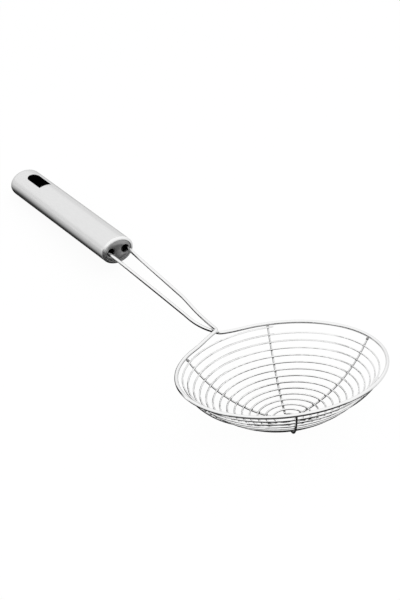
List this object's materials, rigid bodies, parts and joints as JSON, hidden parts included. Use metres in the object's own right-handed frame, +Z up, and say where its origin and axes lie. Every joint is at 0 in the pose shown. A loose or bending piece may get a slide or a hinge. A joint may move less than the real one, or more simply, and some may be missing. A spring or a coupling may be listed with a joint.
{
  "type": "oil strainer",
  "caption": "Shallow spiral-wire bowl with radial ribs on a round wire rim, crossed wire legs and a closed oval pipe handle with a hanging slot, for lifting food out of hot oil.",
  "frame": {"origin": "middle of the strainer's length and width, on the table it lies on", "axes": "+X from the handle's closed end to the front of the bowl, +Y across it to the left, +Z up from the table"},
  "size_m": [0.3866, 0.1302, 0.0496],
  "materials": {
    "handle_steel": "satin",
    "plug_steel": "dull",
    "wire_steel": "polished"
  },
  "bodies": {
    "root": {"handle_tube": "handle_steel", "front_plug": "plug_steel", "frame_wire": "wire_steel", "spiral_wire": "wire_steel", "rib_wire_1": "wire_steel", "rib_wire_2": "wire_steel", "rib_wire_3": "wire_steel", "rib_wire_4": "wire_steel", "rib_wire_5": "wire_steel", "rib_wire_6": "wire_steel"}
  },
  "joints": []
}
